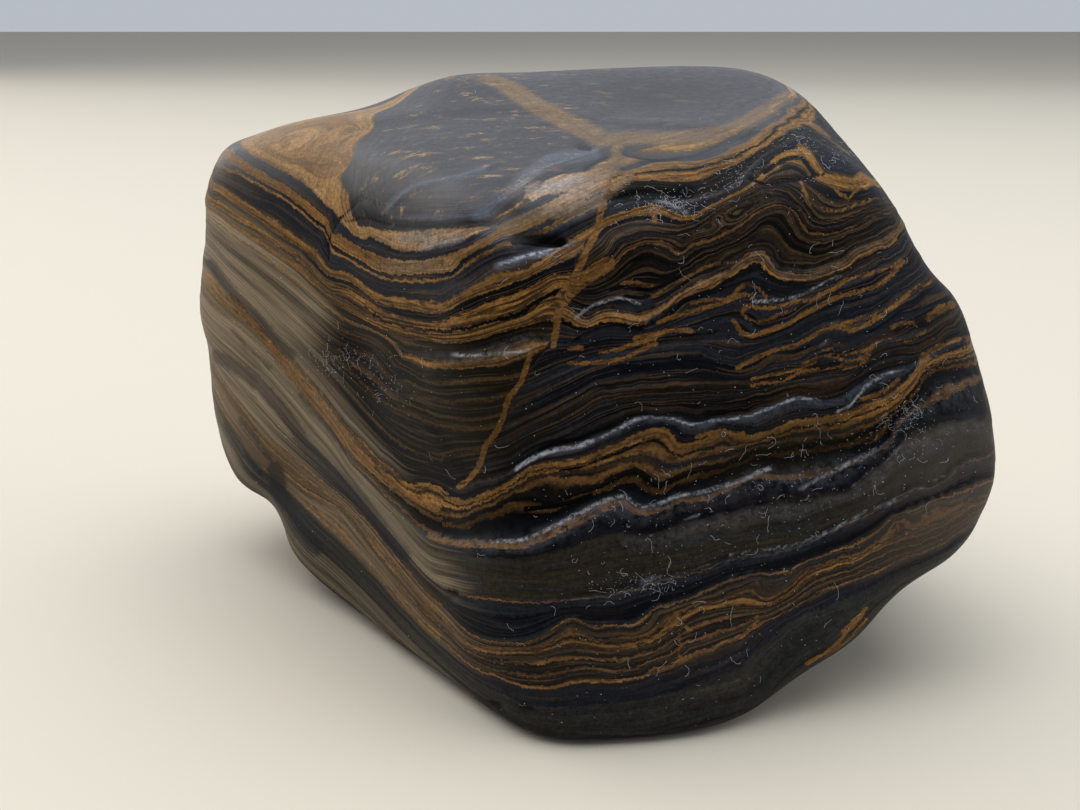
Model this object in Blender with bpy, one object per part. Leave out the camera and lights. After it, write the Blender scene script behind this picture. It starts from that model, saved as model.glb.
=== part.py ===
"""Banded iron formation specimen: one water-worn, polished block of banded ironstone.

The stone is a single closed solid that rests on a flat patch of its underside. It is shaped
around its heart, a point inside it. Each surface point lies in one direction from the heart,
at the radius where the blended worn faces stand. Swells, ledges, courses and pits then raise
or lower that radius.

A direction is (azimuth, elevation) in degrees. Azimuth 0 is the near side, -Y, and 90 is +X.
Elevation 90 is straight up. Lengths are millimetres until the mesh is made in metres.
"""
import bmesh
import bpy
import numpy as np

NODE_NAME = "banded_iron_stone"
MM = 0.001

# The block
HEART_HEIGHT = 37.0          # height of the heart above the resting face
EDGE_SHARPNESS = 10.0        # how tightly neighbouring worn faces meet: higher is sharper

# Worn faces: azimuth, elevation and distance from the heart
WORN_FACES = {
    "left": (-54, 0, 28.5),
    "front": (16, 10, 33.5),
    "top": (0, 77, 32.5),
    "top_left": (-95, 64, 39.5),
    "right_bevel": (88, 30, 48.0),
    "right_end": (76, -6, 61.0),
    "right_underside": (78, -55, 46.0),
    "underside": (0, -90, 39.0),
    "left_underside": (-105, -45, 54.0),
    "back": (176, 4, 44.0),
    "back_left": (-125, 5, 58.0),
    "back_right": (138, -4, 49.0),
    "back_bevel": (184, 45, 50.0),
}

# Swells and hollows: azimuth, elevation, rise of the surface and angular spread
SWELLS = {
    "left_shoulder": (-108, 31, 6.2, 12),
    "left_upper_lobe": (-114, 17, 4.2, 10),
    "left_middle_lobe": (-113, 0, 3.6, 10),
    "left_lower_lobe": (-112, -18, 5.8, 9),
    "left_notch_high": (-108, 9, -0.7, 4),
    "left_undercut": (-110, -30, -2.2, 4),
    "left_keel": (-98, -40, 1.4, 7),
    "left_notch_low": (-106, -9, -0.9, 4),
    "near_foot": (20, -43, 2.2, 11),
    "right_foot": (38, -42, 2.4, 14),
    "right_haunch": (67, -17, 2.8, 10),
    "right_brow": (76, 5, 1.8, 7),
    "crown": (-140, 51, 3.4, 10),
    "saddle": (-122, 50, -0.8, 6),
    "top_dish": (120, 66, -1.6, 13),
    "left_scoop": (-60, 2, -1.0, 13),
    "nose": (-16, 36, 1.5, 9),
    "back_hollow": (165, 8, -2.0, 17),
    "back_knuckle": (-160, -18, 1.8, 14),
    "back_shoulder": (135, 24, 1.8, 12),
}

# Ledges: the points that each crest passes, its height and how far the bed below it slopes off
LEDGES = {
    "nose_shelf": {"path": [(-20, 25), (-14, 27), (-7, 31), (1, 33), (9, 35), (16, 37)],
                   "height": 1.8, "run": 4.0},
    "short_shelf": {"path": [(-28, 14), (-15, 14), (-6, 15)],
                    "height": 1.0, "run": 4.5},
    "folded_shelf": {"path": [(0, 20), (7, 25), (18, 24), (29, 26), (40, 25)],
                     "height": 0.8, "run": 4.0},
    "upper_shelf": {"path": [(-11, -6), (1, -3), (10, 0), (17, 2), (31, -1), (47, 3), (60, 5)],
                    "height": 1.4, "run": 5.0},
    "main_shelf": {"path": [(-15, -20), (-5, -17), (12, -13), (17, -14), (26, -13), (41, -10)],
                   "height": 1.8, "run": 5.0},
    "massive_bed": {"path": [(17, -19), (29, -16), (43, -14), (56, -8), (70, -4)],
                    "height": 1.4, "run": 6.0},
    "lower_shelf": {"path": [(20, -25), (32, -22), (42, -20), (52, -15), (70, -9)],
                    "height": 1.3, "run": 5.0},
    "back_shelf": {"path": [(120, 12), (145, 17), (170, 15), (179, 16)],
                   "height": 1.2, "run": 6.0},
    "back_step": {"path": [(-175, -4), (-160, -9), (-140, -12)],
                  "height": 1.1, "run": 6.0},
}
LEDGE_FACE = 0.9             # height over which the steep face above a crest falls back
LEDGE_TAPER = 6.0            # azimuth over which a ledge dies out past its ends, degrees

# Beds dip towards the near side; their level is read on the vertical line through the origin
BED_RISE_X = 0.09
BED_RISE_Y = 0.53
# Courses: low steps where harder beds stand proud, all round the stone (level, relief)
COURSES = [(-12, 0.5), (-3, 0.4), (5, 0.6), (13, 0.4), (22, 0.6), (31, 0.5),
           (38, 0.4), (49, 0.5), (57, 0.4), (61, 0.5), (70, 0.4)]
COURSE_RUN = 5.0             # length over which a course slopes off below its crest
COURSE_MEAN = 0.5            # taken off all round, so that courses rise and sink about the block
COURSE_WAVES = ((3, 0.9, 0.4), (5, 0.6, 2.1), (9, 0.35, 4.0))   # count round, level, phase
COURSE_FOOT = 8.0            # height over which the courses fade out above the resting face
SMOOTH_SIDE = (-62, 0, 30)   # the left face is polished smoother: azimuth, elevation, spread
SMOOTHING = 0.55             # share of the courses' relief lost at its middle

# Pits: azimuth, elevation, depth and angular spread
PITS = {
    "nose_pit": (-13, 37.5, 1.6, 2.6),
    "under_nose_pocket": (-3, 35, 1.5, 4.5),
    "rim_crack": (34, 55, 0.9, 4.0),
    "left_fissure": (-96, 1, 1.1, 3.0),
    "left_rough_patch": (-66, 6, 0.7, 5.0),
    "low_left_pit": (-30, -40, 1.0, 3.0),
    "right_corner_pit": (80, 17, 1.0, 3.5),
    "back_pit": (158, -12, 1.2, 4.0),
}

# Mesh
FINE_LEVEL = 7               # subdivision of the icosphere that is shaped
KEPT_TRIANGLES = 9400        # the flatter stretches are thinned to reach this

# Finish
STONE_COLOUR = (0.060, 0.045, 0.034, 1.0)
STONE_ROUGHNESS = 0.42


def directions(azimuth, elevation):
    """Return the unit vectors of the given angles in degrees."""
    azimuth = np.radians(azimuth)
    elevation = np.radians(elevation)
    return np.stack([np.sin(azimuth) * np.cos(elevation),
                     -np.cos(azimuth) * np.cos(elevation),
                     np.sin(elevation)], axis=-1)


def angles(rays):
    """Return the azimuth and elevation of unit vectors, in degrees."""
    azimuth = np.degrees(np.arctan2(rays[:, 0], -rays[:, 1]))
    elevation = np.degrees(np.arcsin(np.clip(rays[:, 2], -1.0, 1.0)))
    return azimuth, elevation


def block_radius(rays):
    """Radius of the block that the worn faces bound, with softly rounded edges."""
    total = np.zeros(len(rays))
    for azimuth, elevation, distance in WORN_FACES.values():
        facing = np.maximum(rays @ directions(azimuth, elevation), 0.0)
        total += (facing / distance) ** EDGE_SHARPNESS
    return total ** (-1.0 / EDGE_SHARPNESS)


def bump(rays, azimuth, elevation, spread):
    """A round bump, 1 in the given direction and fading over the spread in degrees."""
    apart = np.degrees(np.arccos(np.clip(rays @ directions(azimuth, elevation), -1.0, 1.0)))
    return np.exp(-0.5 * (apart / spread) ** 2)


def step_profile(above, run, face):
    """Section through a ledge: a gentle slope up to the crest, and a steep face above it."""
    below = np.exp(np.minimum(above, 0.0) / run)
    return below * 0.5 * (1.0 - np.tanh(above / (0.5 * face)))


def ledge_rise(rays, radius, path, height, run):
    """Rise of one ledge, which follows a path of directions across the stone."""
    azimuth, elevation = angles(rays)
    path_azimuth, path_elevation = np.array(path, dtype=float).T
    crest = np.interp(azimuth, path_azimuth, path_elevation)
    above = np.radians(elevation - crest) * radius
    past_ends = np.maximum(path_azimuth[0] - azimuth, azimuth - path_azimuth[-1])
    strength = np.exp(-(np.maximum(past_ends, 0.0) / LEDGE_TAPER) ** 2)
    return height * strength * step_profile(above, run, LEDGE_FACE)


def bed_level(points):
    """Level of the bed that each point lies in, read at the origin's vertical."""
    return points[:, 2] - BED_RISE_X * points[:, 0] - BED_RISE_Y * points[:, 1]


def course_rise(rays, radius):
    """Low steps that run round the stone along its beds."""
    azimuth, _ = angles(rays)
    points = rays * radius[:, None] + (0.0, 0.0, HEART_HEIGHT)
    level = bed_level(points)
    for count, size, phase in COURSE_WAVES:
        level = level + size * np.sin(count * np.radians(azimuth) + phase)
    rise = np.full(len(rays), -COURSE_MEAN)
    for crest, relief in COURSES:
        rise += relief * step_profile(level - crest, COURSE_RUN, LEDGE_FACE)
    wear = 1.0 - SMOOTHING * bump(rays, *SMOOTH_SIDE)
    return rise * wear * np.clip(points[:, 2] / COURSE_FOOT, 0.0, 1.0)


def stone_radius(rays):
    """Radius of the finished stone in each direction."""
    radius = block_radius(rays)
    for azimuth, elevation, rise, spread in SWELLS.values():
        radius += rise * bump(rays, azimuth, elevation, spread)
    radius += course_rise(rays, radius)
    for ledge in LEDGES.values():
        radius += ledge_rise(rays, radius, ledge["path"], ledge["height"], ledge["run"])
    for azimuth, elevation, depth, spread in PITS.values():
        radius -= depth * bump(rays, azimuth, elevation, spread)
    to_resting_face = HEART_HEIGHT / np.maximum(-rays[:, 2], 1e-6)
    return np.minimum(radius, to_resting_face)


def shape_sphere():
    """Make a fine icosphere and move its vertices out to the stone's surface."""
    mesh = bpy.data.meshes.new(NODE_NAME)
    sphere = bmesh.new()
    bmesh.ops.create_icosphere(sphere, subdivisions=FINE_LEVEL, radius=1.0)
    sphere.to_mesh(mesh)
    sphere.free()

    rays = np.empty(len(mesh.vertices) * 3)
    mesh.vertices.foreach_get("co", rays)
    rays = rays.reshape(-1, 3)
    rays /= np.linalg.norm(rays, axis=1, keepdims=True)
    points = rays * stone_radius(rays)[:, None] + (0.0, 0.0, HEART_HEIGHT)
    middle = (points.min(axis=0) + points.max(axis=0)) / 2
    points[:, :2] -= middle[:2]
    mesh.vertices.foreach_set("co", (points * MM).ravel())
    mesh.update()
    return mesh


def thin_out(stone):
    """Merge the triangles of the flatter stretches, and keep those along ledges and edges."""
    thinning = stone.modifiers.new("thinning", "DECIMATE")
    thinning.decimate_type = "COLLAPSE"
    thinning.ratio = KEPT_TRIANGLES / len(stone.data.polygons)
    thinning.use_collapse_triangulate = True


def stone_material():
    """Dark satin ironstone."""
    material = bpy.data.materials.new("banded_ironstone")
    material.use_nodes = True
    shader = material.node_tree.nodes["Principled BSDF"]
    shader.inputs["Base Color"].default_value = STONE_COLOUR
    shader.inputs["Roughness"].default_value = STONE_ROUGHNESS
    shader.inputs["Metallic"].default_value = 0.0
    material.diffuse_color = STONE_COLOUR
    return material


def clear_scene():
    """Remove whatever objects the opened file holds."""
    for item in list(bpy.data.objects):
        bpy.data.objects.remove(item, do_unlink=True)


def main():
    clear_scene()
    stone = bpy.data.objects.new(NODE_NAME, shape_sphere())
    bpy.context.scene.collection.objects.link(stone)
    thin_out(stone)
    stone.data.materials.append(stone_material())
    stone.data.shade_smooth()


main()
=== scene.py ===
"""Banded iron formation specimen: the looks of one water-worn, polished block of banded ironstone.

The stone's skin is a fine closed surface that is cast onto the CAD block and then given its
crisp ledges, laminae and pits. Each point of the skin carries the level of the bed it lies in,
and the material reads its colours from two logs of the beds, one for each side of a fault.
Horizons that were followed across the near sides are kept as short paths. They are
projected onto the stone through the camera, so that the beds bend and pinch as the real ones do.

Lengths are millimetres unless a name says otherwise. The meshes themselves are in metres.
A path is written as its points, each the column and row in the picture. A row of a table of
paths is a name, a number and the path, and a row that starts with blanks goes on with the last.
"""

import math

import bpy
import numpy as np
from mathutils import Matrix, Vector, noise
from mathutils.bvhtree import BVHTree


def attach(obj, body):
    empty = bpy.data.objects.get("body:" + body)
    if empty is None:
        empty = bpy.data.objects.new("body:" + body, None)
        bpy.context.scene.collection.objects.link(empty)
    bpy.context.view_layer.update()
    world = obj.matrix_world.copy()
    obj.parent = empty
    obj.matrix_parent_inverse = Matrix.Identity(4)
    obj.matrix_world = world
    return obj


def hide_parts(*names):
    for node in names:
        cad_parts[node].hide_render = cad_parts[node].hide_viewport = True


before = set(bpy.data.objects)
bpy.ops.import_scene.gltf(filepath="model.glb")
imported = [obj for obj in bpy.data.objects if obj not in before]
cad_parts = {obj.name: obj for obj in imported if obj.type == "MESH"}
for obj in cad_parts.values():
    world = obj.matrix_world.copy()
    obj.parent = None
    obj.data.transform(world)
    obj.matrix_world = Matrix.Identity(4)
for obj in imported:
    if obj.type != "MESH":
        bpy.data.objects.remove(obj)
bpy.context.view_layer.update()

CAD_NODE = "banded_iron_stone"
MM = 0.001
SEED = 7

# ---------------- camera
PICTURE = (1080, 810)  # picture size that the paths below are written in
FOCAL = 1415.0  # focal length in pixels of that picture
MIDDLE = np.array(PICTURE) / 2
CAMERA_AT = np.array([-3.69, -191.73, 85.0])
CAMERA_DIP = math.radians(16.3)  # below the horizon
CAMERA_RIGHT = np.array([1.0, 0.0, 0.0])
CAMERA_UP = np.array([0.0, math.sin(CAMERA_DIP), math.cos(CAMERA_DIP)])
CAMERA_AHEAD = np.array([0.0, math.cos(CAMERA_DIP), -math.sin(CAMERA_DIP)])
SENSOR_WIDTH = 36.0
FACING_FULL = 0.25  # cosine of the angle to the camera from which a point counts as near

# ---------------- skin
HEART = np.array([-0.69, -3.73, 37.0])  # the point inside the stone that the skin is cast from
FACE_CELLS = 127  # cells along each edge of the six-sided sphere
NEAR_BIAS = 0.32  # crowds the cells towards the camera
SMOOTH_ROUNDS = 26  # rounds that soften the CAD block's facets
ATLAS_MARGIN = 0.004  # between the sides of the sphere in the atlas
PIXEL = 0.134  # size of a picture pixel on the stone
FAR = 60.0  # distance that stands for none nearby

# ---------------- beds
BED_RISE_X = 0.09  # rise of the flat beds to the right and to the back
BED_RISE_Y = 0.53
BED_DATUM = -2.04  # makes the levels agree with the log at the near edge
FOLD_SOFTNESS = 0.8  # roundness of the horizons' interpolation
FOLD_SPACING = 0.25  # closer points of the horizons are left out
FOLD_EASE = 0.02  # how far the folds may miss a horizon
FOLD_HOLD = 5.0  # distance from the horizons that keeps the folds whole
FOLD_REACH = 28.0  # distance over which folds relax on unseen sides
PATH_STEP = 9.0  # spacing of the points put along a horizon, in pixels
STROKE_STEP = 6.0  # and along a stroke
STROKE_REACH = 30  # pixels around a stroke in which it is measured
WAVES = ((0.5, 7.0), (0.22, 2.2))  # height and size of the uneven waves of the beds
WAVE_COLUMNS = (520, 160, 0.15)  # column from which they grow, columns of passage, least share
GRADE_RANGE = (0.08, 1.3)  # limits to how fast the level changes along the surface
NOISE_SHIFT = (17.3, 5.9, 11.1)  # what parts one seed's noise from the next
CHUNK = 4000  # points that are worked on at a time

# Horizons: level in the log and the picture points that the horizon passes
HORIZONS = """
facet 78: 430,110 470,90 400,150 480,130 450,165 520,160 560,150
dish 79: 560,90 640,82 700,85 760,85 640,105 700,110 600,108
bump 74.4: 290,130 330,120 360,130 310,150 340,160 345,185
ochre_1_top 75.1: 357,225 388,231 412,232 440,227 470,223 485,222
ochre_1_base 73.7: 370,236 385,243 398,250 422,250 445,243 460,240 470,235 485,230
bump_base 73.7: 235,137 245,150 262,160 280,170 300,180 322,200 335,212
ochre_2_top 72.6: 330,231 345,238 360,248 375,255 400,260 420,260 440,256 455,252 468,247 480,240 490,234
ochre_2_top_left 72.6: 228,150 245,162 262,172 280,182 300,196 318,210 328,220
ochre_2_base 70.8: 330,240 345,252 360,260 375,270 400,276 420,274 450,272 460,262 475,252 485,246 500,238
ochre_2_base_left 70.8: 227,158 245,171 262,182 280,191 300,206 315,219 325,227
thin_ochre 69.5: 345,258 375,275 395,280 425,281 440,281 455,275
thin_ochre_left 69.5: 240,175 262,187 280,196 297,209 312,222 325,234
slate_base 67.2: 330,270 350,275 375,292 400,298 430,301 445,301 455,294 470,288 485,279 500,271
slate_base_left 67.2: 212,180 235,195 250,206 275,221 300,240 312,248
rim_line_top 72.9: 625,170 650,163 675,161 700,160 715,154 730,147 745,142 760,131 775,121 790,108 800,100
  808,96 818,102 828,111 838,123 848,137
rim_line_base 71: 630,179 650,180 675,180 700,180 712,175 722,170 735,163 750,156 765,148 780,137 790,128
  800,123 812,121 822,129 832,141 842,150 852,157
slate_right 67.4: 612,217 640,208 655,207 665,211 680,217 690,216 700,210 715,203 735,194 752,184 765,171
  775,158 790,151 800,145 808,149 816,160 826,172 838,175 850,177 860,172 870,167
ochre_a 66.5: 375,298 400,303 415,305 430,308 445,307 465,296 490,287 505,282 520,277 535,270 550,262
  560,255
ochre_a_left 66.5: 211,184 235,200 252,211 275,226 300,244
ochre_a_right 66: 612,228 625,223 640,221 655,221 665,223 680,226 692,222 702,216 714,209 727,202
ochre_b_right 64.7: 620,240 635,235 650,233 665,234 680,235 689,231 700,224 712,215 725,207 738,201
  752,195 765,190 780,190 793,192
lamina_1 64.5: 683,243 691,237 701,230 712,220 722,213 735,208 750,204 765,200 780,198 790,201 800,208
  806,216 812,223 825,227 840,225 855,219 870,213 885,207 895,203
lamina_2 64.1: 690,248 702,244 716,239 731,231 745,223 755,215 765,209 775,206 788,208 796,215 802,225
  810,232 825,235 840,232 855,226 870,219 893,211
lamina_3 63.7: 703,252 720,247 735,240 750,230 760,222 772,217 783,221 790,231 798,242 808,248 820,249
  838,244 855,236 870,230 895,218
lamina_4 63.4: 728,252 742,247 755,240 766,236 775,240 783,250 792,257 805,259 820,257 835,252 850,245
  870,237 895,226
dark_g 65.2: 330,280 350,286 375,304 390,310 405,315 425,318 440,318 455,311 470,305 485,298 515,289
  550,272
dark_g_left 65.2: 209,191 235,207 252,218 275,234 300,251
ochre_b 64.1: 330,288 350,294 380,313 400,321 420,325 440,326 460,322 480,316 500,310 520,303 540,292
  555,282
ochre_b_left 64.1: 208,200 235,216 255,228 275,241 300,258
ochre_c 62.6: 330,296 350,308 375,323 400,331 425,336 450,338 475,335 500,328 525,321 545,310
ochre_c_top 62.95: 588,318 600,312 612,309 624,311 635,314 646,313 656,308 668,301 680,293 690,287 700,281
  720,274 735,266 745,258 757,254 768,258 775,266 785,271 800,272 815,270 830,265 845,259 855,250 870,244
  885,238 897,230
ochre_c_base 62.3: 585,329 598,324 612,321 624,323 635,326 646,325 656,320 668,311 682,301 693,295 706,290
  722,283 737,275 747,268 757,264 765,269 773,277 785,281 800,281 815,278 830,274 845,268 857,259 872,251
  887,246
below_hook 58.6: 640,345 660,338 690,334 715,330 735,328 750,338 765,335 790,325 812,312 838,299 865,292
  893,276 915,262
long_line 55.8: 600,366 640,357 690,352 737,362 750,357 775,347 800,340 820,330 832,325 850,328 870,320
  885,310 905,295 932,280
brown_band 52: 600,392 650,385 700,384 750,384 800,371 832,361 852,362 868,352 890,341 925,331 950,318
dark_k 61.4: 360,320 400,338 420,345 450,348 475,345 500,338 525,330
ochre_m 60.3: 402,356 420,362 435,365 455,367 480,365 500,362 528,353
tan_1 58.5: 405,370 425,381 450,383 490,380
tan_2 56.7: 390,382 430,398 455,402 490,400
tan_3 54: 380,400 400,410 430,424 450,428 475,430
tan_4 51.5: 355,400 385,432 410,450 440,460
steel_shelf 48.3: 515,470 540,455 575,448 590,440 610,433 635,418 650,416 680,420 690,425 720,421 750,418
  780,405 800,398 830,401 860,385 875,378 890,372 915,365 950,345
steel_left 48.3: 211,265 230,290 245,303 262,320 275,337
main_ochre_top 47: 209,275 225,295 245,312 262,330 280,348 300,370 320,393 345,426 360,441 380,462 390,468
  400,478 412,485 430,485 440,490 450,497 465,500 480,492 500,487 515,477 530,469 545,464 565,461 585,456
  600,450 625,440 640,431 655,427 672,432 682,442 700,437 725,430
main_ochre_base 45.6: 380,477 400,492 415,503 430,512 445,517 460,516 475,510 510,496 545,482
inner_line 46.3: 560,469 600,460 640,447 655,446 680,456 695,451 745,445 790,430 840,423 880,407 900,395
  912,380 930,365 980,348
thin_p 45.4: 550,500 575,492 595,487 610,480 635,470 655,480 665,482 690,470 735,460 755,452 790,447
main_shelf 44.2: 350,460 370,480 385,495 400,508 415,522 430,533 445,538 460,541 490,543 525,542 535,537
  550,530 565,523 580,515 595,507 615,500 625,499 635,507 645,510 655,508 668,502 680,497 700,495 730,486
  760,476 790,480 820,474 850,462 885,445 895,430 905,415 940,395 975,380
massive_top 43.3: 650,535 665,527 680,520 700,515 730,512 800,500 830,497 850,487 870,470 885,457 900,442
  920,430 940,424 985,418
massive_base 38.5: 240,365 270,395 300,432 330,462 390,532 440,585 505,600 560,600 620,592 690,572 720,562
  770,552 800,545 820,535 840,526 860,517 880,507 900,495 915,488 930,488 945,479 960,466 985,456
group_top 33.3: 290,455 320,480 345,500 370,525 395,555 420,585 445,610 465,630 480,638 500,643 520,643
  535,640 550,632 560,625 572,619 590,626 620,625 635,623 645,616 655,607 675,602 700,593 725,582 750,575
  775,574 800,565 820,556 845,547 865,537 880,528 890,519 905,512 925,504 945,496 965,489 988,480
thick_line 31.9: 300,475 330,494 345,506 370,534 392,562 420,595 450,625 465,640 490,650 530,651 545,648
  560,642 575,639 605,644 640,640 655,634 665,625 675,617 700,605 725,598 745,597 762,602 780,598 795,589
  803,579 815,572 830,566 850,559 870,550 890,541 910,531 940,518 965,507 986,498
group_base 28.8: 290,492 320,520 340,538 365,563 380,578 395,597 410,612 425,628 445,645 465,662 480,672
  500,680 515,686 535,690 550,690 590,684 625,682 655,673 685,663 730,645 760,628 800,608 825,596 850,585
  880,573 905,560 930,549 955,536 975,522
foot_line 25: 620,738 640,735 700,736 745,715 800,665 840,640
"""

# Strokes: marks that cross the beds or stand alone, of these widths in the picture
STROKES = {
    "pale": """
18: 465,68 480,72 500,80 520,95 540,108 560,118 580,128 600,138
13: 600,140 620,138 640,137 660,138 680,137 700,136 725,129 745,121 760,113 775,104 785,96 792,84
13: 532,190 560,186 585,181 605,172 618,160 618,148
9: 500,226 520,220 540,213 560,213 580,207 600,199 612,190 630,176
""",
    # glint: painted highlights
    "glint": """
5: 498,266 510,262 522,258 535,254 552,252
3: 545,250 558,246 572,243
11: 478,216 492,206 505,196 518,184 530,173 545,163 560,158 576,156 594,153
3: 388,208 400,196 425,184 455,178 484,169
3: 385,216 410,218 440,217 470,214
7: 425,246 442,243 460,238
6: 530,189 545,186 562,183 580,178
4: 400,238 430,236
""",
    # frost: pale dust with painted highlights along the lips of the ledges
    "bright_dust_and_highlight": """
2.5: 490,541 510,541 525,539 535,535 550,528 565,521 580,513 595,505 612,498 625,496 635,503 645,507
  655,505 668,500 680,495 700,492 715,488 730,484 745,479 760,472 772,468
4: 516,469 530,460 545,453 560,449 575,447 592,441
1.5: 600,438 620,428 635,420 650,417 672,419 690,424 715,421 745,417 775,406 797,398 820,400
1.5: 836,412 848,406 858,396 864,388 880,377 905,367
2: 452,354 470,356 490,354 515,353 530,350
2.5: 500,264 515,259 530,255 546,252
2: 549,250 572,243
2: 798,490 810,483 825,475 840,468 855,460 868,455 880,448
1.5: 575,318 588,308 603,302 618,298 630,300 640,304
1.5: 752,302 775,300 795,297 815,287 840,276
1.5: 730,555 750,552 775,548 800,543 830,530 862,513 880,505
""",
    "slate": """
5: 623,151 650,153 675,153 700,150 715,146 730,139 750,129 765,120 780,110 790,101 797,90
7: 344,178 352,196 366,209 385,219 410,224 450,224 490,222 515,212 528,200
12: 215,355 235,367 250,378 270,397 290,420 305,445 330,470 345,485 365,505 390,540 405,555
3: 285,352 300,370 320,393 335,412 352,434 370,455 385,468 400,480
4: 340,480 355,498 375,525 395,550
16: 276,470 282,500 296,525 315,548
4: 225,425 240,450 262,475
4: 240,420 262,448 280,470
3: 232,330 250,350 270,368
3: 300,395 325,425 345,452
9: 210,262 230,289 245,304 262,322 275,338 292,355
7: 700,330 716,326 732,326
8: 815,343 830,338 850,341 862,336
8: 625,308 640,306 650,301
7: 585,338 605,332 620,331
""",
    "ochre": """
6.5: 610,185 604,202 599,218 597,232 588,248 581,264 572,280 566,292 559,308 556,330 553,345
5.5: 531,352 527,365 522,380 515,390 508,400 505,412 500,425 493,437 485,447 482,458 477,470 468,480
  459,487
5: 652,206 653,214 655,222
4: 800,106 811,108 822,119 832,131 842,142 851,153
3: 812,101 826,113 838,126 849,141
3: 822,178 832,187 840,195 848,198 856,190 870,180 880,172
3: 800,180 805,194 812,204 825,210 840,211 855,205 870,200
15: 562,300 572,288 588,276 608,264
3: 640,300 655,296 672,284 690,276 705,267 722,263 738,262
4: 622,284 635,282 645,285 654,286
3: 690,303 712,299 728,298 740,287 750,284 758,288 766,297
4: 657,322 672,317 688,312 702,308 720,304 735,298 745,294 753,297
4: 742,311 748,306 757,308 770,308 785,305 797,301 811,300 825,293 836,287 846,280 860,276 876,272 890,268
  901,261
3: 742,311 746,318 757,322 768,320 781,314 795,309
4.5: 733,320 741,332 750,336 762,333 776,328 790,323 800,316 812,310 825,303 838,297 850,293 865,290
  880,284 893,273 904,261
4: 737,368 750,361 760,356 775,350 790,347 800,343 810,338 820,332 832,327 842,328 850,331 860,327 870,323
  878,318 886,311 896,304 906,296 916,288 932,282
3: 840,325 855,320 868,315 877,312
2.5: 815,352 830,349 850,352 865,350 878,341 890,338 905,341 915,338 926,331
2.5: 800,365 810,360 820,357 832,356 842,360 852,360 865,355 873,347
2.5: 752,379 770,375 785,373 800,368 815,362
3: 750,386 765,383 782,382 800,373 830,368 846,368 861,364 870,355
4: 890,328 900,324 910,322 916,325
8: 929,318 940,309 954,304
5: 930,352 947,343 968,337
9: 905,391 912,384 918,375 922,366 925,356
4: 905,391 898,400 888,406 879,412 866,417 850,424 840,428
4: 924,364 940,358 956,353 976,344
4: 857,400 868,397 880,393 891,386 900,377
4: 634,338 650,335 662,332 675,330 692,331
4: 569,348 582,348
4: 600,352 616,350 631,345 645,341 656,337 664,332
4: 568,363 590,363 610,361 626,357 641,350 656,344
4: 725,432 710,433 695,438
3.5: 806,664 822,655 838,642 850,629 862,615
3: 824,659 841,647 855,633 867,618
3.5: 842,632 855,620 866,608
8: 232,297 255,325 275,350 300,385 330,420 350,446 372,468 392,484
2.5: 672,604 676,620 680,636 678,654
4: 664,628 672,619 676,612 682,624 690,630
4: 650,673 665,668 690,656
3.5: 430,536 445,541 460,544 490,546 510,547 525,547 535,543 550,537 565,530 580,523 595,515 612,508
2.5: 732,643 745,632 755,622 757,610 758,628 762,641
""",
    # dark: cracks, and painted shade in the gaps and pockets under lips and ledges
    "dark": """
2: 385,206 366,198 356,203 345,213 335,226 328,242 328,260
1.5: 300,236 297,250 302,262 311,267
1.5: 345,213 330,222 316,229
1.5: 372,200 378,210 388,218
2.5: 345,222 365,218 385,223 410,227 450,227 500,224
3: 585,168 597,160 607,156
3: 601,116 607,115 612,117
1.5: 632,119 645,119
1.5: 660,126 668,120 674,119
4: 579,147 590,148
4: 625,153 650,156 680,154 700,151 725,141 750,132
4: 257,356 259,368 256,380 256,397
2: 775,485 782,500
2: 670,503 675,520
8: 515,240 530,238 548,238 562,241
11: 612,202 625,197 640,193 655,192 675,193 690,192
4: 610,290 622,287 635,289 650,290 660,287 672,281 682,275
4: 626,296 640,298 650,296
5: 650,322 662,315 674,307 690,298 705,293 722,288
3: 575,340 590,332 605,327 617,324 628,328 642,329
5: 540,450 552,444 566,441 580,439 594,434 606,428
5: 525,510 550,507 575,502 592,496
3: 560,471 580,468 600,461 612,456 626,451 640,444
4.5: 763,173 778,163 790,158 800,158 808,166 815,176
2: 752,172 764,164 776,155 789,149 800,148
2.5: 800,113 812,117 822,126 832,138 842,148
3: 750,179 765,184 780,182 800,179 825,174
3: 757,266 766,272 774,282 788,285 802,284
""",
    "crest": """
2: 388,210 398,200 410,191 425,184 445,180 465,176 482,170 500,163
2.5: 452,354 470,356 490,354 515,353 530,350
3.5: 528,259 545,256 560,252 575,247 590,240
2.5: 568,327 575,313 585,305 600,299 612,293 625,288 635,291
2: 578,320 590,309 605,304 620,299 630,301 640,305 648,303
3: 606,218 625,209 640,205 650,200 660,201 670,206 680,211 688,214
2.5: 640,331 650,328 660,327 680,328 690,329
3: 752,303 765,302 780,300 795,297 808,291 820,285 835,278 845,275
2: 818,348 826,341 838,340 850,340 860,335
3.5: 513,471 530,461 545,454 560,450 575,448 590,442 605,436 620,428 635,420 650,418
1.5: 715,423 730,421 745,418 760,415 775,407 785,402 797,399 815,400 828,402
1.5: 833,413 845,408 855,400 862,389 872,383
2: 873,382 885,376 895,370 905,367 915,365
3.5: 490,542 510,542 525,540 535,536 550,529 565,522 580,514 595,506 612,499 625,497 635,505 645,509
  655,506 668,501 680,496 700,493 715,489 730,485 745,480 760,473 772,468
3.5: 798,490 810,483 825,475 840,468 855,460 868,455 880,448 893,438
3.5: 935,400 945,392 955,388 967,383
3.5: 640,583 660,576 690,570 720,562 745,557 770,553 800,545 820,536 840,526 860,516 880,507 900,497
  920,488 940,478 960,468 976,461
2: 650,535 665,527 680,520 700,515 730,511 765,507 800,500 830,497 850,488 870,472 885,460 900,446 920,433
  940,425
""",
}

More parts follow.
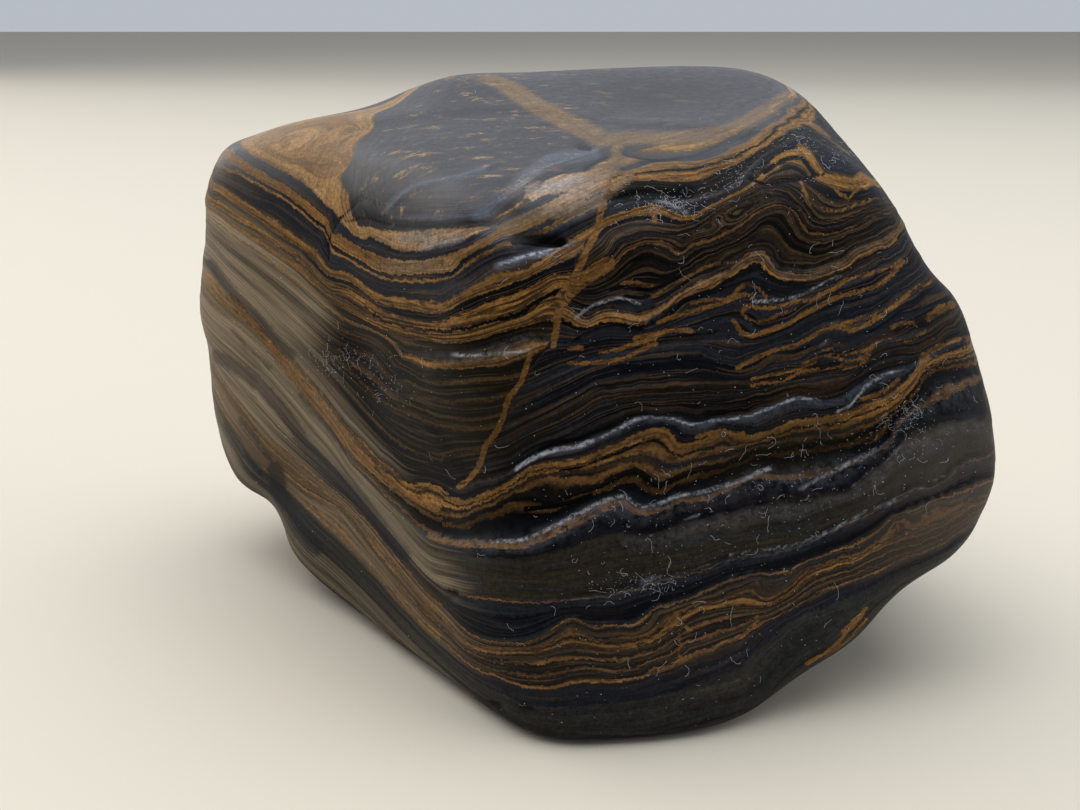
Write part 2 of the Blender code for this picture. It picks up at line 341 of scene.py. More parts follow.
# Outlines of the two parts of the top that are hematite throughout
HEMATITE = (
    "408,88 400,95 385,110 375,125 365,140 355,155 345,170 342,180 350,195 365,206 385,217 410,221 "
    "450,222 485,221 500,214 515,206 524,195 540,181 565,174 592,168 606,156 602,146 580,135 "
    "560,125 540,116 520,103 500,89 480,79 458,62 425,66",
    "600,130 620,130 640,131 660,132 680,130 700,129 725,122 745,114 760,106 772,97 780,88 785,70 "
    "700,50 560,50 488,62 505,78 520,88 540,101 560,111 580,121",
)

# The vein's fault, which the beds change across
FAULT = (
    "465,60 480,72 500,80 540,108 580,128 600,140 618,150 600,222 576,262 556,330 545,350 520,385 "
    "500,425 480,465 459,487 440,500 440,800"
)
FAULT_BLUR = 10.0  # width of the passage across it, in pixels
FAR_FAULT_BLUR = 1.3  # and on the far side, in millimetres
FAR_FAULT = (-16.0, 74.0, 0.5)  # its place, height and slope on the far side
FAR_FAULT_WAVE = (1.5, 6.0)  # height and length of its waves there
UNDER_FAULT = -12.5  # its place on the underside
VEIN_HALF_WIDTH = 0.6  # on the far side
RIM_FACING = 0.7  # the far side's vein comes over the rim up to here

# Right edge of the khaki left face, whose khaki is a painted sheen, and where the khaki fades on the far
# side
KHAKI_EDGE = (
    "215,120 250,200 300,250 335,300 318,325 312,350 325,375 342,400 358,425 375,450 393,475 "
    "414,500 448,550 462,600 470,650 480,720"
)
KHAKI_BLUR = 60.0  # width of the passage across the edge, in pixels
FAR_KHAKI = np.array([-0.9, 0.3, 0.1])  # direction that it faces there
KHAKI_TOP = 47.5  # under this level, the dark beds stand out from the khaki low on the near side
KHAKI_ROWS = (400, 90)  # picture row under which they do, and rows of passage
KHAKI_ABOVE = 0.85  # share of it that they take elsewhere

# East of the fault, the middle laminae are thicker: level in the log, and level in the rock
THICKENED = (
    "-80,-80 52,52 55.8,54.6 58.6,57.2 62.3,61.5 62.95,62.6 64.7,70 67.4,73.5 71,78 73,80.5 160,168"
)
CREST_RISE = 0.16  # of the crest strokes
GAP_DEPTH = 0.30  # of the dark strokes
RIM_SOFTNESS = 0.15  # of both

# Pits: place and half size in the picture, and depth; they are also darkened in the colour as painted
# shade
PITS = (
    (534, 239, 15, 5, 0.7), (553, 243, 15, 4, 0.7), (519, 246, 8, 3, 0.4), (650, 196, 34, 5, 0.5),
    (453, 594, 6, 5, 0.6), (492, 705, 12, 5, 0.6), (526, 709, 9, 3, 0.6), (345, 352, 22, 10, 0.35),
    (385, 384, 16, 10, 0.35), (640, 288, 9, 3, 0.5), (862, 452, 12, 4, 0.4),
)

# Stretches where the ochre is duller, and where it shines with a painted sheen: place, half size and
# share
DULL = ((500, 420, 45, 75, 0.7), (430, 410, 60, 70, 0.25), (770, 300, 60, 40, 0.2))
SHINE = ((432, 238, 52, 14, 0.6), (556, 192, 48, 22, 1.0), (420, 268, 55, 10, 0.4))

# Gentle swellings of the block's outline: place and reach in the picture, and height
BULGES = (
    (203, 310, 38, 1.1), (243, 482, 34, 1.6), (203, 224, 28, -0.7), (228, 150, 24, 0.8),
    (290, 548, 36, 0.5), (952, 548, 44, 1.0), (850, 636, 52, 1.6), (945, 300, 32, 0.8),
)

# The logs of the beds, from the top down: level of the bed's base and its colour
BED_LOG = """
75.1 hematite, 73.7 pale_ochre, 72.6 slate, 70.8 ochre, 70.4 black, 69.9 slate, 69.4 ochre, 67.2 slate,
65.9 ochre, 64.7 navy, 63.7 ochre, 63.3 black, 62 ochre, 60.6 olive, 60.1 ochre, 58.7 umber, 58.4 sienna,
56.9 umber, 56.6 sienna, 55.2 umber, 54.9 sienna, 54.2 umber, 53.9 sienna, 51.7 umber, 51.4 sienna,
48.3 plum, 47.6 navy, 47.2 black, 46.5 ochre, 46.35 black, 45.6 ochre, 45.45 black, 45.2 tan, 44.4 black,
44.15 tan, 43.5 navy, 38.5 massive, 33.4 navy, 33 ochre, 32.6 plum, 32.3 tan, 32.15 black, 31.5 ochre,
31.3 black, 31 ochre, 30.8 plum, 30.5 ochre, 30.2 black, 29.9 tan, 29.7 plum, 29.4 ochre, 29.2 black,
28.7 ochre, 25.1 foot, 24.9 olive, 22 foot
"""
EAST_LOG = """
75.1 hematite, 73.7 pale_ochre, 72.9 navy, 72.1 ochre, 71.8 black, 71 ochre, 70.4 black, 70 olive,
69.3 black, 67.4 slate, 66.35 ochre, 65.35 navy, 64.9 brown, 64.7 navy, 64.6 umber, 64.5 black,
64.38 brown, 64.3 umber, 64.18 black, 64.06 tan, 63.96 umber, 63.86 brown, 63.78 black, 63.66 umber,
63.55 black, 63.44 olive, 63.36 brown, 63.24 black, 63.14 umber, 63.06 brown, 62.95 black, 62.3 ochre,
61.9 black, 60.2 slate, 58 navy, 55.4 slate, 52.6 navy, 50 umber, 48.4 black, 47.6 slate, 47 navy,
46.45 ochre, 46.3 black, 46.05 ochre, 45.75 umber, 45.55 tan, 45.3 massive, 45.15 black, 44.9 ochre,
44.25 navy, 44.05 tan, 43.3 navy, 38.5 khaki, 38.3 tan, 36.6 slate, 33.4 navy, 33.1 ochre, 32.75 plum,
32.55 brown, 32.25 umber, 32 tan, 31.85 black, 31.4 ochre, 31.2 black, 31 brown, 30.7 umber, 30.5 tan,
30.3 plum, 30.1 brown, 29.9 black, 29.7 tan, 29.5 umber, 29.35 brown, 29.1 plum, 28.9 ochre, 27.5 slate,
25.1 foot, 24.9 olive, 22 foot
"""
RAMP_BEDS = 14  # beds that one colour ramp holds
LOG_FOOT = 22.0
LOG_HEAD = 82.0
LOG_REPEAT = 43.4  # the bed that follows under the foot of the log
EDGE_BLUR = 0.10  # width of the passage from one bed to the next

BED_COLOURS = {
    "hematite": (0.036, 0.032, 0.037), "pale_ochre": (0.38, 0.215, 0.085),
    "slate": (0.013, 0.015, 0.022), "ochre": (0.27, 0.136, 0.038),
    "black": (0.0015, 0.0015, 0.002), "navy": (0.004, 0.005, 0.0085),
    "olive": (0.016, 0.013, 0.006), "plum": (0.0045, 0.0035, 0.0035),
    "tan": (0.17, 0.085, 0.028), "massive": (0.008, 0.007, 0.0045), "khaki": (0.026, 0.023, 0.017),
    "foot": (0.025, 0.0265, 0.0255), "brown": (0.032, 0.021, 0.012),
    "umber": (0.0088, 0.0076, 0.0060), "sienna": (0.070, 0.037, 0.012),
}

# Coats over the beds: colour, and how much of it shows where the coat is thickest. Glint and shine are
# painted highlights and sheen; dust and frost are pale dust with painted highlights
COATS = {
    "tan_thread": ((0.105, 0.062, 0.029), 1.0), "dark_thread": ((0.002, 0.002, 0.003), 1.0),
    "steel": ((0.020, 0.025, 0.034), 1.0), "pale": ((0.200, 0.130, 0.070), 1.0),
    "glint": ((0.150, 0.175, 0.225), 0.62), "ochre": ((0.195, 0.095, 0.028), 1.0),
    "dark": ((0.002, 0.002, 0.003), 1.0), "hole": ((0.022, 0.014, 0.008), 1.0),
    "shine": ((0.66, 0.53, 0.43), 0.34), "fleck": ((0.310, 0.220, 0.125), 1.0),
    "scratch": ((0.34, 0.28, 0.20), 0.7), "worn": ((0.100, 0.084, 0.070), 0.62),
    "dim": ((0.016, 0.013, 0.006), 0.55), "slate": ((0.013, 0.015, 0.022), 1.0),
    "crest_dust_and_highlight": ((0.310, 0.330, 0.380), 0.62), "bright_dust_and_highlight": ((0.520, 0.540, 0.590), 0.78),
}
KHAKI = (0.340, 0.264, 0.176)  # pale and deep tones of the khaki painted sheen
KHAKI_DEEP = (0.108, 0.088, 0.061)
SHEEN_DARK = 0.49  # specular level of the hard dark beds
SHEEN_PALE = 0.12  # and of the earthy ochre
SHEEN_SIDE = 0.035  # what is left of it on the uneven sides

# How ragged each kind of stroke is, and how far from its edge it starts and is full
STROKE_EDGES = {
    "pale": (1.6, 0.35, -0.35), "glint": (1.0, 0.65, -0.55), "ochre": (1.0, 0.10, -0.10),
    "dark": (0.4, 0.12, -0.08), "slate": (1.4, 0.40, -0.30), "crest": (0.9, 0.22, -0.22),
    "bright_dust_and_highlight": (0.8, 0.24, -0.20),
}
# Noises that run along the laminae: how many to a metre along them and to a millimetre across,
# detail and roughness
STRANDS = {
    "broad": (55.0, 1.5, 4.0, 0.62), "fine": (160.0, 5.0, 3.0, 0.6), "steel": (45.0, 1.7, 3.0, 0.6),
    "hole": (420.0, 3.2, 4.0, 0.7), "khaki": (45.0, 3.5, 5.0, 0.6), "reach": (18.0, 2.2, 3.0, 0.6),
    "patch": (26.0, 0.45, 4.0, 0.6), "scratch": (22.0, 9.0),
}
# Noises that run evenly: how many to a metre, detail and roughness
GRAINS = {
    "edge_broad": (330.0, 3.0, 0.55), "edge_fine": (1500.0, 2.0, 0.6), "edge_finest": (3600.0, 1.0),
    "fault": (700.0,), "hematite": (500.0, 4.0, 0.65), "dull": (75.0,), "fleck": (260.0, 6.0, 0.75),
    "stroke_broad": (900.0, 2.0, 0.6), "stroke_fine": (3200.0, 1.0), "crest": (210.0, 3.0),
    "spots": (900.0, 3.0, 0.65), "grain": (2400.0, 3.0, 0.7), "crest_dust_and_highlight": (900.0, 3.0, 0.7),
    "bright_dust_and_highlight": (1300.0, 3.0, 0.7), "lint": (900.0,),
}
FLECK_SHAPE = (1.0, 2.2, 1.6)  # how much the flecks are squeezed along each axis
SKIN_BUMP = (0.55, 0.0002)  # strength, and depth in metres
LINT_BUMP = (0.3, 0.00002)
# Thin laminae within the beds: how many to a millimetre, their coat, and the noise where they start
THREADS = (
    (2.2, "tan_thread", 0.56), (2.9, "dark_thread", 0.54),
    (5.0, "tan_thread", 0.58), (6.0, "dark_thread", 0.56),
)
THREAD_RUN = 60.0  # how many there are to a metre along the laminae
# Share of these threads at levels of the log
STREAK_SHARES = (
    (22, 28, 29, 33, 34, 44, 45, 48, 49, 61, 62, 66, 67, 75, 76),
    (0.05, 0.1, 0.6, 0.6, 0.05, 0.1, 0.25, 0.2, 0.35, 0.45, 0.75, 0.75, 0.3, 0.3, 0.0),
)

# Flecks on the top: level and passage, and the column from which they are fewer, with its passage
FLECK_LEVELS = (75.2, 0.8)
FLECK_COLUMNS = (560, 60)
FLECKS_LOST = 0.7  # share of them that is missing there
# Polish: how level the surface is, the bed it starts at and its least, and how much lower it is west
POLISH_SLOPES = (0.12, 0.4)
POLISH_LEVELS = (70.3, 1.8, 0.06)
POLISH_DROP = 3.2
# Worn stretches: first column and passage, then low and high level, share and least of each
WORN_COLUMNS = (830, 90)
WORN_BANDS = ((28.0, 34.0, 1.0, 0.18), (35.0, 43.6, 0.6, 0.0))
# Dim stretch: first and last column with their passages, and its levels
DIM_COLUMNS = (670, 50, 880, 40)
DIM_LEVELS = (43.9, 47.4)
BAND_SOFTNESS = 0.6  # passage at both ends of such levels

# Share of the khaki painted sheen that beds take low on the near side, at levels of the log
KHAKI_SHARES = (
    (24, 25.2, 28.4, 28.9, 33.2, 33.7, 38.3, 38.7, 43.2, 43.7, 47.0, 47.6, 60, 66, 73, 75),
    (0.5, 0.22, 0.22, 0.45, 0.45, 0.35, 0.35, 1.0, 1.0, 0.4, 0.4, 1.0, 1.0, 0.45, 0.4, 0.0),
)
# Share of steel-blue laminae at levels of the log
STEEL_SHARES = ((30, 36, 44, 47, 50, 61, 63, 80), (0.2, 0.8, 0.5, 0.3, 0.8, 0.7, 0.2, 0.2))

# Ledges: level of the crest, height, length below it, and the picture columns it runs between
LEDGES = (
    (69.3, 0.7, 3.0, 560, 900), (72.9, 0.5, 2.0, 600, 900), (62.9, 0.5, 1.6, 570, 900),
    (60.9, 0.7, 2.0, 430, 545), (48.3, 0.7, 1.6, 500, 1000), (44.2, 1.2, 2.2, 420, 1000),
    (43.0, 0.6, 2.4, 620, 1000), (38.5, 0.6, 2.4, 560, 1000), (33.6, 0.3, 1.5, 560, 1000),
)
LEDGE_FACE = 0.25  # half the height in which a crest gives way to its recess
LEDGE_RECESS = 0.7  # length of the recess above a crest, against its run
LEDGE_FADE = 25.0 / 3  # pixels in which the ends of a ledge fall off
LAMINA_STEP = 1.5  # thickness of the laminae that stand out
LAMINA_RELIEF = 0.08
FINER_RELIEF = 0.6 * LAMINA_RELIEF  # of laminae half as thick

# ---------------- lint
# Where lint lies: centre and spread in the picture, share of all of it
LINT_PATCHES = (
    (760, 330, 130, 90, 22), (660, 198, 40, 12, 9), (790, 150, 40, 28, 9), (920, 410, 44, 40, 7),
    (785, 485, 50, 18, 6), (365, 368, 36, 28, 6), (690, 535, 80, 30, 8), (850, 470, 60, 30, 7),
    (700, 640, 90, 40, 9), (600, 500, 70, 40, 5), (560, 670, 60, 30, 3), (300, 330, 50, 80, 3),
    (480, 380, 50, 70, 3), (330, 540, 40, 40, 2), (620, 110, 90, 26, 1), (350, 362, 20, 10, 9),
    (388, 390, 12, 8, 4), (668, 206, 20, 6, 9), (735, 172, 11, 8, 7), (796, 138, 14, 11, 7),
    (842, 152, 9, 9, 4), (905, 420, 15, 12, 7), (648, 585, 30, 7, 6),
)
LINT_TONES = ((0.34, 0.36, 0.40), (0.72, 0.74, 0.78))
FIBRES = 420
FIBRE_RADIUS = 0.016
FIBRE_LENGTHS = (0.5, 3.0)
FIBRE_POINTS = 10
FIBRE_BOUNCE = (0.03, 0.22)  # least and most that the middle of a fibre stands off the stone
FIBRE_CURL = 0.20  # spread of the steady turn that a fibre takes at each point
FIBRE_WANDER = 0.38  # and of the random one
SPECKS = 2400
SPECK_SIZES = (0.015, 0.065)

# ---------------- floor and light
FLOOR_HALF_M = 3.0
FLOOR_COLOUR = (0.78, 0.71, 0.58)
FLOOR_ROUGHNESS = 0.7
# Name, place and aim in metres, size, energy and colour
LIGHTS = (
    ("window", (0.05, 0.95, 0.60), (0, 0, 0.05), (1.8, 0.8), 1.2, (0.80, 0.90, 1.0)),
    ("overhead", (0.0, 0.02, 1.1), (0, 0, 0.03), (1.5, 1.1), 12.0, (0.93, 0.96, 1.0)),
    ("left_window", (-1.0, 0.5, 0.5), (0, 0, 0.03), (1.6, 1.3), 7.0, (1.0, 0.96, 0.90)),
    ("right_window", (1.2, -0.25, 0.40), (0, 0, 0.03), (1.1, 1.1), 4.5, (0.95, 0.97, 1.0)),
)
WORLD_NEAR = (0.086, 0.094, 0.116)
WORLD_FAR = (0.48, 0.51, 0.56)
WORLD_SPAN = (-0.6, 0.8)  # how far back the near tone ends and the far one is full


# ---------------- tables
def read_path(text):
    """Points of a path."""
    return [tuple(float(part) for part in spot.split(",")) for spot in text.split()]


def read_table(text):
    """Number and path of each row of a table."""
    for row in text.replace("\n  ", " ").strip().splitlines():
        head, path = row.split(":")
        yield float(head.split()[-1]), read_path(path)


def read_log(text):
    """Base level and colour name of each bed of a log."""
    beds = [bed.split() for bed in text.split(",")]
    return [(float(base), name) for base, name in beds]


# ---------------- small sums
def unit(vectors):
    """The vectors at length one."""
    return vectors / np.linalg.norm(vectors, axis=-1, keepdims=True)


def passage(value, start, width, least=0.0):
    """Nil, or the least, up to the start, one from a width past it, and even between."""
    return np.clip((value - start) / width, least, 1.0)


def falling(value):
    """One far below nil and nil far above it."""
    return 1 / (1 + np.exp(value))


def band(level, low, high):
    """One within a range of levels, nil outside it, with soft ends."""
    return passage(level, low, BAND_SOFTNESS) * passage(high, level, BAND_SOFTNESS)


def distances(points, places):
    """Distance from every point to every place."""
    square = (np.sum(points ** 2, axis=1)[:, None] + np.sum(places ** 2, axis=1)[None, :]
              - 2 * points @ places.T)
    return np.sqrt(np.maximum(square, 0.0))


def gentle_noise(points, size, seed):
    """Smooth noise from -1 to 1 with features of the given size."""
    shift = Vector([seed * part for part in NOISE_SHIFT])
    return np.array([noise.fractal(Vector(p) / size + shift, 1.0, 2.0, 3)
                     for p in points.tolist()])


# ---------------- projection
def to_picture(points):
    """Picture coordinates of points."""
    apart = points - CAMERA_AT
    flat = np.stack([apart[:, 0], -(apart @ CAMERA_UP)], axis=-1)
    return MIDDLE + FOCAL * flat / (apart @ CAMERA_AHEAD)[:, None]


def hits(tree, pixels):
    """Place and normal where the rays through picture points meet the stone."""
    across, down = ((pixels - MIDDLE) / FOCAL).T[:, :, None]
    for ray in unit(CAMERA_AHEAD + across * CAMERA_RIGHT - down * CAMERA_UP):
        place, normal, _, _ = tree.ray_cast(Vector(CAMERA_AT), Vector(ray))
        if place is not None:
            yield place, normal


def spread_along(path, step):
    """Points at even steps along a smooth curve through the path's points."""
    path = np.array(path)
    ends = np.vstack([2 * path[0] - path[1], path, 2 * path[-1] - path[-2]])
    out = []
    for a, b, c, d in zip(ends, ends[1:], ends[2:], ends[3:]):
        count = max(1, int(round(np.linalg.norm(c - b) / step)))
        t = (np.arange(count) / count)[:, None]
        out.append(0.5 * (2 * b + (c - a) * t + (2 * a - 5 * b + 4 * c - d) * t ** 2
                          + (3 * b - a - 3 * c + d) * t ** 3))
    out.append(path[-1:])
    return np.vstack(out)


# ---------------- skin
def sphere_grid():
    """Directions, quads and atlas places of a six-sided sphere, crowded towards the camera."""
    n = FACE_CELLS
    ticks = np.tan(np.linspace(-1, 1, n + 1) * math.pi / 4)
    a, b = np.meshgrid(ticks, ticks, indexing="ij")
    one = np.ones_like(a)
    sides = [(one, a, b), (-one, b, a), (b, one, a), (a, -one, b), (a, b, one), (b, a, -one)]
    spots = np.vstack([np.stack(side, axis=-1).reshape(-1, 3) for side in sides])
    _, first, back = np.unique(np.round(spots, 6), axis=0, return_index=True,
                               return_inverse=True)
    back = back.ravel()
    i, j = np.meshgrid(np.arange(n), np.arange(n), indexing="ij")
    corner = (i * (n + 1) + j).ravel()
    cell = np.stack([corner, corner + n + 1, corner + n + 2, corner + 1], axis=1)
    u, v = np.divmod(cell, n + 1)
    inner = 1 - 2 * ATLAS_MARGIN
    quads = []
    places = []
    for side in range(6):
        quads.append(back[cell + side * (n + 1) ** 2])
        row, column = divmod(side, 3)
        places.append(np.stack([(column + ATLAS_MARGIN + inner * u / n) / 3,
                                (row + ATLAS_MARGIN + inner * v / n) / 2], axis=-1))
    to_camera = unit(CAMERA_AT - HEART)
    rays = unit(unit(spots[first]) + NEAR_BIAS * to_camera)
    return rays, np.vstack(quads), np.vstack(places)


def neighbour_weights(points, quads):
    """Directed edges with weights whose mean offset is nil, so that softening leaves no seams."""
    edges = np.vstack([quads[:, [0, 1]], quads[:, [1, 2]], quads[:, [2, 3]], quads[:, [3, 0]]])
    start, end = np.vstack([edges, edges[:, ::-1]]).T
    count = len(points)
    offset = points[end] - points[start]
    offset /= np.sqrt(np.bincount(start, np.sum(offset ** 2, axis=1), count)
                      / np.bincount(start, minlength=count))[start][:, None]
    drift = np.stack([np.bincount(start, offset[:, k], count) for k in range(3)], axis=1)
    spread = np.zeros((count, 3, 3))
    for j in range(3):
        for k in range(3):
            spread[:, j, k] = np.bincount(start, offset[:, j] * offset[:, k], count)
    spread += 0.02 * np.eye(3)
    pull = np.linalg.solve(spread, drift[:, :, None])[:, :, 0]
    weight = np.maximum(1.0 - np.sum(offset * pull[start], axis=1), 0.05)
    return start, end, weight / np.bincount(start, weight, count)[start]


def soften(values, links, rounds):
    """Average values over neighbouring vertices, round after round."""
    start, end, weight = links
    for _ in range(rounds):
        values = 0.5 * values + 0.5 * np.bincount(start, weight * values[end], len(values))
    return values


def vertex_normals(points, quads):
    """Unit normals at the vertices."""
    a, b, c, d = (points[quads[:, k]] for k in range(4))
    across = np.cross(c - a, d - b)
    normals = np.zeros_like(points)
    for k in range(4):
        for axis in range(3):
            normals[:, axis] += np.bincount(quads[:, k], across[:, axis], len(points))
    return unit(normals)


def mesh_tree(mesh):
    """A mesh as a tree for casting rays, in millimetres."""
    return BVHTree.FromPolygons([v.co / MM for v in mesh.vertices],
                                [tuple(p.vertices) for p in mesh.polygons])


def bare_skin():
    """The softened block: points, quads, atlas places, normals and links between vertices."""
    rays, quads, places = sphere_grid()
    links = neighbour_weights(rays, quads)
    tree = mesh_tree(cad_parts[CAD_NODE].data)
    heart = Vector(HEART)
    radius = np.array([tree.ray_cast(heart, Vector(ray))[3] for ray in rays.tolist()])
    radius = soften(radius, links, SMOOTH_ROUNDS)
    points = HEART + rays * radius[:, None]
    normals = vertex_normals(points, quads)
    if np.mean(np.sum(normals * rays, axis=1)) < 0:
        quads = quads[:, ::-1]
        places = places[:, ::-1]
        normals = -normals
    points += normals * swell(to_picture(points))[:, None]
    return points, quads, places, normals, links


# ---------------- beds
def planar_level(points):
    """Level that a point's bed would have if the beds were flat."""
    return points[:, 2] - BED_RISE_X * points[:, 0] - BED_RISE_Y * points[:, 1] + BED_DATUM


def horizon_points(tree):
    """Points of the horizons on the stone, and how far each lies above or below its bed."""
    places = []
    levels = []
    for level, path in read_table(HORIZONS):
        for place, _ in hits(tree, spread_along(path, PATH_STEP)):
            places.append(tuple(place))
            levels.append(level)
    places = np.array(places)
    return places, np.array(levels) - planar_level(places)


def bed_levels(points, tree):
    """Level of the bed at each point, with the folds that the horizons show."""
    places, lifts = horizon_points(tree)
    keep = np.ones(len(places), dtype=bool)
    apart = distances(places, places)
    for k in range(len(places)):
        if keep[k]:
            close = apart[k] < FOLD_SPACING
            close[:k + 1] = False
            keep[close] = False
    places, lifts = places[keep], lifts[keep]
    kernel = np.sqrt(distances(places, places) ** 2 + FOLD_SOFTNESS ** 2)
    size = len(places)
    system = np.zeros((size + 1, size + 1))
    system[:size, :size] = -kernel + FOLD_EASE * np.eye(size)
    system[:size, size] = 1.0
    system[size, :size] = 1.0
    weights = np.linalg.solve(system, np.append(lifts, 0.0))
    out = np.empty(len(points))
    for start in range(0, len(points), CHUNK):
        part = slice(start, start + CHUNK)
        apart = distances(points[part], places)
        bend = -np.sqrt(apart ** 2 + FOLD_SOFTNESS ** 2) @ weights[:-1] + weights[-1]
        past = np.maximum(apart.min(axis=1) - FOLD_HOLD, 0.0)
        out[part] = bend * np.exp(-(past / FOLD_REACH) ** 2)
    return planar_level(points) + out


def surface_grade(level, points, links):
    """How fast the level changes along the surface at each vertex."""
    start, end, _ = links
    length = np.linalg.norm(points[start] - points[end], axis=1)
    count = len(level)
    total = np.bincount(start, ((level[start] - level[end]) / length) ** 2, count)
    return soften(np.sqrt(2 * total / np.bincount(start, minlength=count)), links, 4)


def rock_level(level):
    """Level in the rock east of the fault, where the middle laminae are thicker."""
    return np.interp(level, *np.transpose(read_path(THICKENED)))


def wavy_beds(level, east, points, pixels, links):
    """Level of the bed and of the lamina at each point, with uneven waves, and the bed's grade."""
    lamina = np.where(east > 0, rock_level(level), level)
    slope = (rock_level(level + 0.05) - rock_level(level - 0.05)) / 0.1
    slope = np.where(east > 0, slope, 1.0)
    grade = np.clip(surface_grade(level, points, links), *GRADE_RANGE)
    wave = sum(height * gentle_noise(points, size, seed)
               for seed, (height, size) in enumerate(WAVES, 1))
    wave *= passage(pixels[:, 0], *WAVE_COLUMNS) * np.minimum(grade * slope, 1.0)
    return level + wave / slope, lamina + wave, grade


# ---------------- relief
def lamina_profile(level, step, seed):
    """A fixed random relief that depends on the bed alone."""
    rng = np.random.default_rng(seed)
    knots = np.arange(-60, 140, step)
    heights = rng.uniform(-1.0, 1.0, len(knots))
    return np.interp(level, knots, heights)


def ledge_windows(pixels, facing):
    """How strongly each ledge shows at each point."""
    u = pixels[:, 0]
    for crest, height, run, first, last in LEDGES:
        window = falling((first - u) / LEDGE_FADE) * falling((u - last) / LEDGE_FADE)
        yield crest, height, run, window * facing


def relief(level, lamina, grade, pixels, facing):
    """Height of the skin above the softened block, from the hardness of its beds."""
    rise = LAMINA_RELIEF * lamina_profile(lamina, LAMINA_STEP, SEED)
    rise += FINER_RELIEF * lamina_profile(lamina, 0.5 * LAMINA_STEP, SEED + 1)
    rise *= np.clip(grade, 0.2, 1.0)
    for crest, height, run, window in ledge_windows(pixels, facing):
        above = level - crest
        shelf = np.exp(np.minimum(above, 0.0) / run)
        recess = np.exp(-np.maximum(above, 0.0) / (LEDGE_RECESS * run))
        step = 0.5 * (1 - np.tanh(above / LEDGE_FACE))
        rise += height * window * (0.5 * shelf * step - 0.5 * recess * (1 - step))
    return rise


def ledge_marks(level, pixels, facing):
    """Dust with a painted highlight along the crests, and painted shade in the recess above each."""
    crest_dust_and_highlight = np.zeros(len(level))
    recess_shade = np.zeros(len(level))
    for crest, height, _, window in ledge_windows(pixels, facing):
        above = level - crest
        strength = window * min(height, 1.0)
        crest_dust_and_highlight = np.maximum(crest_dust_and_highlight, strength * np.exp(-((above + 0.15) / 0.35) ** 2))
        recess_shade = np.maximum(recess_shade, strength * np.exp(-((above - 0.8) / 0.5) ** 2))
    return crest_dust_and_highlight, recess_shade


def swell(pixels):
    """Height of the gentle swellings."""
    height = np.zeros(len(pixels))
    for u, v, reach, rise in BULGES:
        apart = np.sum((pixels - (u, v)) ** 2, axis=1)
        height += rise * np.exp(-apart / reach ** 2)
    return height


# ---------------- marks
def path_distance(pixels, path):
    """Distance in the picture from each point to a path."""
    path = spread_along(path, STROKE_STEP)
    nearest = np.full(len(pixels), np.inf)
    for start, end in zip(path, path[1:]):
        run = end - start
        share = np.clip((pixels - start) @ run / (run @ run), 0.0, 1.0)
        foot = start + share[:, None] * run
        nearest = np.minimum(nearest, np.linalg.norm(pixels - foot, axis=1))
    return nearest


def stroke_distance(kind, pixels, facing):
    """Signed distance to the edge of the nearest stroke of a kind."""
    nearest = np.full(len(pixels), FAR)
    for width, path in read_table(STROKES[kind]):
        low = np.min(path, axis=0) - STROKE_REACH
        high = np.max(path, axis=0) + STROKE_REACH
        near = np.all((pixels > low) & (pixels < high), axis=1)
        gap = path_distance(pixels[near], path) - width / 2
        nearest[near] = np.minimum(nearest[near], gap)
    return nearest * PIXEL + 2.0 * (1 - facing)


def edge_column(path, pixels):
    """Picture column of an edge at each point's row."""
    columns, rows = np.transpose(read_path(path))
    return np.interp(pixels[:, 1], rows, columns)


def fault_sides(points, pixels, facing):
    """Which side of the fault each point is on, and its distance to the vein on the far side."""
    near_side = np.clip((pixels[:, 0] - edge_column(FAULT, pixels)) / FAULT_BLUR, -0.5, 0.5)
    start, height, slope = FAR_FAULT
    wave, length = FAR_FAULT_WAVE
    far_edge = start - slope * (height - points[:, 2]) + wave * np.sin(points[:, 2] / length)
    share = passage(points[:, 1], -20.0, 40.0)
    off = points[:, 0] - (share * far_edge + (1 - share) * UNDER_FAULT)
    far_side = np.clip(off / FAR_FAULT_BLUR, -0.5, 0.5)
    vein = np.where(facing > RIM_FACING, FAR, np.abs(off) - VEIN_HALF_WIDTH)
    return np.where(facing > 0, near_side, far_side), vein


def hematite_distance(pixels, facing):
    """Signed distance to the edge of the hematite areas, negative inside."""
    nearest = np.full(len(pixels), FAR)
    for outline in HEMATITE:
        corners = read_path(outline)
        loop = corners + corners[:1]
        gap = path_distance(pixels, loop)
        inside = np.zeros(len(pixels), dtype=bool)
        for (x0, y0), (x1, y1) in zip(loop, loop[1:]):
            spans = (pixels[:, 1] < y0) != (pixels[:, 1] < y1)
            rise = y1 - y0 if y1 != y0 else 1e-9
            crossing = x0 + (pixels[:, 1] - y0) / rise * (x1 - x0)
            inside ^= spans & (pixels[:, 0] < crossing)
        nearest = np.minimum(nearest, np.where(inside, -gap, gap))
    return nearest * PIXEL + 20.0 * (1 - facing)


def blots(spots, pixels, facing):
    """Sum of soft-edged ovals in the picture: place, half size and strength."""
    strength = np.zeros(len(pixels))
    for u, v, half_u, half_v, peak in spots:
        reach = ((pixels[:, 0] - u) / half_u) ** 2 + ((pixels[:, 1] - v) / half_v) ** 2
        strength += peak * np.exp(-reach ** 1.5)
    return strength * facing


def khaki_share(level, pixels, normals, facing):
    """How khaki each point is: the left face's painted sheen, and the dark beds stand out lower down."""
    share = np.interp(level, *KHAKI_SHARES)
    lower = facing * passage(pixels[:, 1], *KHAKI_ROWS)
    share = np.where(level > KHAKI_TOP, share, share + (1 - lower) * (KHAKI_ABOVE - share))
    near = passage(edge_column(KHAKI_EDGE, pixels) - pixels[:, 0], -KHAKI_BLUR / 2, KHAKI_BLUR)
    far = passage(normals @ FAR_KHAKI, 0.45, 0.3)
    return share * (facing * near + (1 - facing) * far)


